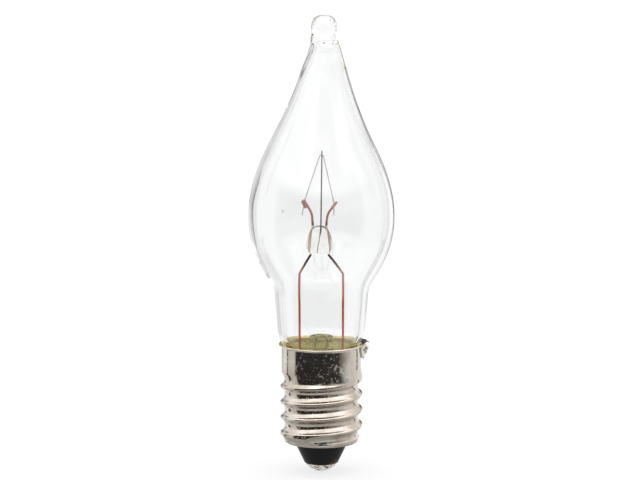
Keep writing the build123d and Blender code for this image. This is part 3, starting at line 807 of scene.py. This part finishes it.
# Side solder: a lumpy blob over the notch, with a tail run down the skirt
BLOB, BLOB_X, BLOB_Z, BLOB_TOP, BLOB_STAND = 0.65, 4.85, 14.85, 0.62, 0.005
TAIL_STRETCH, TAIL_TAPER_X, TAIL_TAPER_Y = 2.6, 0.28, 0.4
BLOB_LUMP, BLOB_FINENESS, BLOB_START = 0.22, 2.2, Vector((3.1, 0.4, 1.7))
BLOB_PITS = (0.08, 7)


def side_place(v):
    """Turns a ball into the blob: drawn out downwards, pitted, and flat against the shell."""
    p = v.copy()
    if p.z < 0:
        p.z *= TAIL_STRETCH
        p.x, p.y = p.x * (1 + TAIL_TAPER_X * p.z), p.y * (1 + TAIL_TAPER_Y * p.z)
    lump = 1 + BLOB_LUMP * noise.noise(BLOB_FINENESS * v + BLOB_START) + lumps(v, BLOB_PITS)
    p = Vector((p.x * lump + BLOB_X, p.y * lump, min(p.z * lump, BLOB_TOP) + BLOB_Z))
    near = Vector((p.x, p.y)).length
    hold = SKIRT + BLOB_STAND + curl(p.z, LIP - SKIRT) if p.z < RIM_Z else LIP_IN
    if near < hold:
        p.x, p.y = p.x * hold / near, p.y * hold / near
    return p


ball = [(0, -BLOB)] + arc(0, 0, BLOB, -84, 84, 40) + [(0, BLOB)]
blob = revolved(ball, segments=56, place=side_place)
piece("rim_solder", blob, [SOLDER], ["side_solder"])

# Contact eyelet: the solid stays, under plain brass
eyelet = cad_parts["contact_eyelet"]
eyelet.data.materials.clear()
eyelet.data.materials.append(INSIDE)


# Stage: a white light table and sky, and a room with a dark front that only reflections see

def around(material, vector):
    """Direction round the bulb, 0 to 1 from behind over left, camera's side and right, and the height."""
    parts = node(material, "ShaderNodeSeparateXYZ")
    link(material, vector, parts.inputs["Vector"])
    back = combined(material, "MULTIPLY", parts.outputs["Y"], -1)
    angle = combined(material, "ARCTAN2", parts.outputs["X"], back)
    return spread(material, angle, 0, 1, -math.pi, math.pi), parts.outputs["Z"]


def zones(material, distance, first, *rest):
    """Blends colours over a distance, each from the last between two limits."""
    colour = first
    for (begin, end), following in rest:
        mix = node(material, "ShaderNodeMix", data_type="RGBA")
        link(material, spread(material, distance, 0, 1, begin, end), mix.inputs["Factor"])
        link(material, colour, mix.inputs[6])
        link(material, following, mix.inputs[7])
        colour = mix.outputs[2]
    return colour


def shown_by_path(material, plain, mirrored, out):
    """Shows one shader to rays that come straight or through glass, another to reflected ones."""
    path = node(material, "ShaderNodeLightPath")
    reflected = combined(material, "GREATER_THAN", path.outputs["Glossy Depth"], 0.5)
    mix = node(material, "ShaderNodeMixShader")
    link(material, reflected, mix.inputs[0])
    link(material, plain.outputs[0], mix.inputs[1])
    link(material, mirrored.outputs[0], mix.inputs[2])
    link(material, mix.outputs[0], out.inputs["Surface"])


# What reflections see round the bulb: dark in front, and lines of dark that draw the edges of glass and cap
FRONT = [(0.272, 0.75), (0.285, 0.03), (0.64, 0.03), (0.7, 0.45), (0.73, 0.65)]
NEAR_FRONT = [(0.27, 0.7), (0.29, 0.03), (0.52, 0.03), (0.6, 0.45), (0.72, 0.75)]
LEFT_LINE = [(0.175, 0.85), (0.18, 0.04), (0.19, 0.04), (0.196, 0.6)]
RIGHT_LINE = [(0.832, 0.8), (0.84, 0.05), (0.853, 0.05), (0.86, 0.95)]
THREAD_LINE = [(0.165, 0.8), (0.172, 0.03), (0.2, 0.03), (0.207, 0.6)]
LEFT_EDGE = [(0.0, 0.5), (0.022, 0.5), (0.035, 0.75), (0.06, 0.68), (0.083, 0.5), (0.09, 0.15),
             (0.103, 0.15), (0.11, 0.8)]
RIGHT_EDGE = [(0.89, 0.9), (0.94, 1.0), (0.948, 0.1), (1.0, 0.1)]
LOW_LEFT = [(0.0, 0.8), (0.083, 0.7), (0.09, 0.15), (0.103, 0.15), (0.11, 0.8)]
FAINT_LEFT = [(0.0, 0.8), (0.083, 0.7), (0.09, 0.5), (0.103, 0.5), (0.11, 0.8)]
LOW_RIGHT = [(0.89, 0.9), (0.94, 0.9), (0.948, 0.4), (1.0, 0.4)]
SOFT_RIGHT = [(0.89, 0.9), (1.0, 0.85)]
DARK_LEFT = [(0.0, 0.06), (0.04, 0.06), (0.08, 0.6), (0.11, 0.85), (0.2, 0.85)]
DARK_RIGHT = [(0.8, 0.85), (0.89, 0.9), (0.94, 0.5), (0.96, 0.06), (1.0, 0.06)]
LIT_FRONT = [(0.15, 0.9), (0.3, 1.5), (0.7, 1.5), (0.85, 0.9)]
SOFTBOX_LEFT = [(0.3, 1.2), (0.37, 1.3), (0.39, 2.1), (0.43, 2.1), (0.46, 1.3)]
SOFTBOX_RIGHT = [(0.6, 1.3), (0.64, 2.1), (0.69, 2.1), (0.72, 1.2)]

# Rings of the floor, as the distances from the axis in metres over which each takes over from the last
CLOSE, AHEAD, BY_SKIRT = (0.007, 0.012), (0.0152, 0.0178), (0.05, 0.06)
BY_NECK, BEYOND = (0.095, 0.1), (0.14, 0.155)
# Greys of the two innermost rings: a painted shadow of the cap on the floor that reflections see
UNDER_SHADOW_GREY, CLOSE_SHADOW_GREY = 0.36, 0.6

# Bands of the room, as the upward parts of a direction over which each takes over from the last
RAISED, UPPER, SOFTBOXES, OVERHEAD = (0.03, 0.1), (0.26, 0.4), (0.46, 0.54), (0.66, 0.74)
ROOM_STRENGTH, SKY_STRENGTH, SKY_TOP_STRENGTH, SKY_RISE = 1.1, 1.06, 3.3, (0.35, 0.75)


def table_material():
    """White paper on a light table, with the rings that reflections see in it; the innermost rings are a
    painted shadow of the cap.
    """
    m = bpy.data.materials.new("light_table")
    m.use_nodes = True
    m.node_tree.nodes.clear()
    out = node(m, "ShaderNodeOutputMaterial")
    glow = node(m, "ShaderNodeEmission", Color=(1, 1, 1, 1), Strength=0.72)
    paper = node(m, "ShaderNodeBsdfDiffuse", Color=(0.13, 0.13, 0.13, 1))
    plain = node(m, "ShaderNodeAddShader")
    link(m, glow.outputs[0], plain.inputs[0])
    link(m, paper.outputs[0], plain.inputs[1])
    mirrored = node(m, "ShaderNodeEmission", Strength=ROOM_STRENGTH)
    spot = node(m, "ShaderNodeTexCoord")
    far = node(m, "ShaderNodeVectorMath", operation="LENGTH")
    link(m, spot.outputs["Object"], far.inputs[0])
    turn = around(m, spot.outputs["Object"])[0]
    # Painted shadow: reflections see the floor grey close under the cap, lighter a little further out
    under = greys(m, turn, (0.0, UNDER_SHADOW_GREY), (1.0, UNDER_SHADOW_GREY))
    close = greys(m, turn, (0.0, CLOSE_SHADOW_GREY), (1.0, CLOSE_SHADOW_GREY))
    ahead = greys(m, turn, (0.0, 0.8), *THREAD_LINE, *NEAR_FRONT, *RIGHT_LINE, (1.0, 0.8))
    by_skirt = greys(m, turn, *FAINT_LEFT, *LEFT_LINE, *FRONT, *RIGHT_LINE, *SOFT_RIGHT)
    by_neck = greys(m, turn, *LOW_LEFT, *FRONT, *LOW_RIGHT)
    beyond = greys(m, turn, *LEFT_EDGE, *FRONT, *RIGHT_EDGE)
    rings = zones(m, far.outputs["Value"], under, (CLOSE, close), (AHEAD, ahead), (BY_SKIRT, by_skirt),
                  (BY_NECK, by_neck), (BEYOND, beyond))
    link(m, rings, mirrored.inputs["Color"])
    shown_by_path(m, plain, mirrored, out)
    m.cycles.emission_sampling = "NONE"
    return m


def studio_world():
    """A white sky, brighter overhead, with the room that reflections see in its place."""
    world = bpy.data.worlds.new("studio")
    world.use_nodes = True
    world.node_tree.nodes.clear()
    out = node(world, "ShaderNodeOutputWorld")
    sky = node(world, "ShaderNodeBackground", Color=(1, 1, 1, 1))
    room = node(world, "ShaderNodeBackground", Strength=ROOM_STRENGTH)
    looking = node(world, "ShaderNodeTexCoord")
    turn, rise = around(world, looking.outputs["Generated"])
    link(world, spread(world, rise, SKY_STRENGTH, SKY_TOP_STRENGTH, *SKY_RISE), sky.inputs["Strength"])
    horizon = greys(world, turn, *LEFT_EDGE, *FRONT, *RIGHT_EDGE)
    raised = greys(world, turn, *DARK_LEFT, *NEAR_FRONT, *DARK_RIGHT)
    upper = greys(world, turn, *LEFT_EDGE, *LIT_FRONT, *RIGHT_EDGE)
    softboxes = greys(world, turn, (0.0, 0.8), *SOFTBOX_LEFT, *SOFTBOX_RIGHT, (0.8, 0.9), (1.0, 0.8))
    overhead = greys(world, turn, (0.0, 1.0), (0.25, 1.4), (0.75, 1.4), (1.0, 1.0))
    bands = zones(world, rise, horizon, (RAISED, raised), (UPPER, upper), (SOFTBOXES, softboxes),
                  (OVERHEAD, overhead))
    link(world, bands, room.inputs["Color"])
    shown_by_path(world, sky, room, out)
    world.cycles.sampling_method = "NONE"
    return world


# Floor: a round table, just under the contact
FLOOR_RADIUS, FLOOR_DROP, FLOOR_SIDES = 3000, 0.1, 96
floor_rim = [(x, y, -FLOOR_DROP) for x, y in arc(0, 0, FLOOR_RADIUS, 0, 360, FLOOR_SIDES + 1)[:-1]]
floor = mesh_object("floor", (floor_rim, [tuple(range(FLOOR_SIDES))]))
floor.data.materials.append(table_material())

# Light: its paths are long, because it runs far along the inside of the glass wall
BOUNCES = 400
scene = bpy.context.scene
scene.world = studio_world()
scene.view_settings.view_transform = "Standard"
scene.cycles.max_bounces = BOUNCES
scene.cycles.transmission_bounces = BOUNCES
scene.cycles.glossy_bounces = BOUNCES

# Camera: nine degrees above the bulb, from half a metre
AIM = Vector((-0.00015, 0, 0.02706))
TILT, DISTANCE = math.radians(9.15), 0.5
lens = bpy.data.cameras.new("camera")
lens.lens, lens.sensor_width = 244.2, 36.0
camera = bpy.data.objects.new("camera", lens)
scene.collection.objects.link(camera)
camera.location = AIM + DISTANCE * Vector((0, -math.cos(TILT), math.sin(TILT)))
camera.rotation_euler = (AIM - camera.location).to_track_quat("-Z", "Y").to_euler()
scene.camera = camera
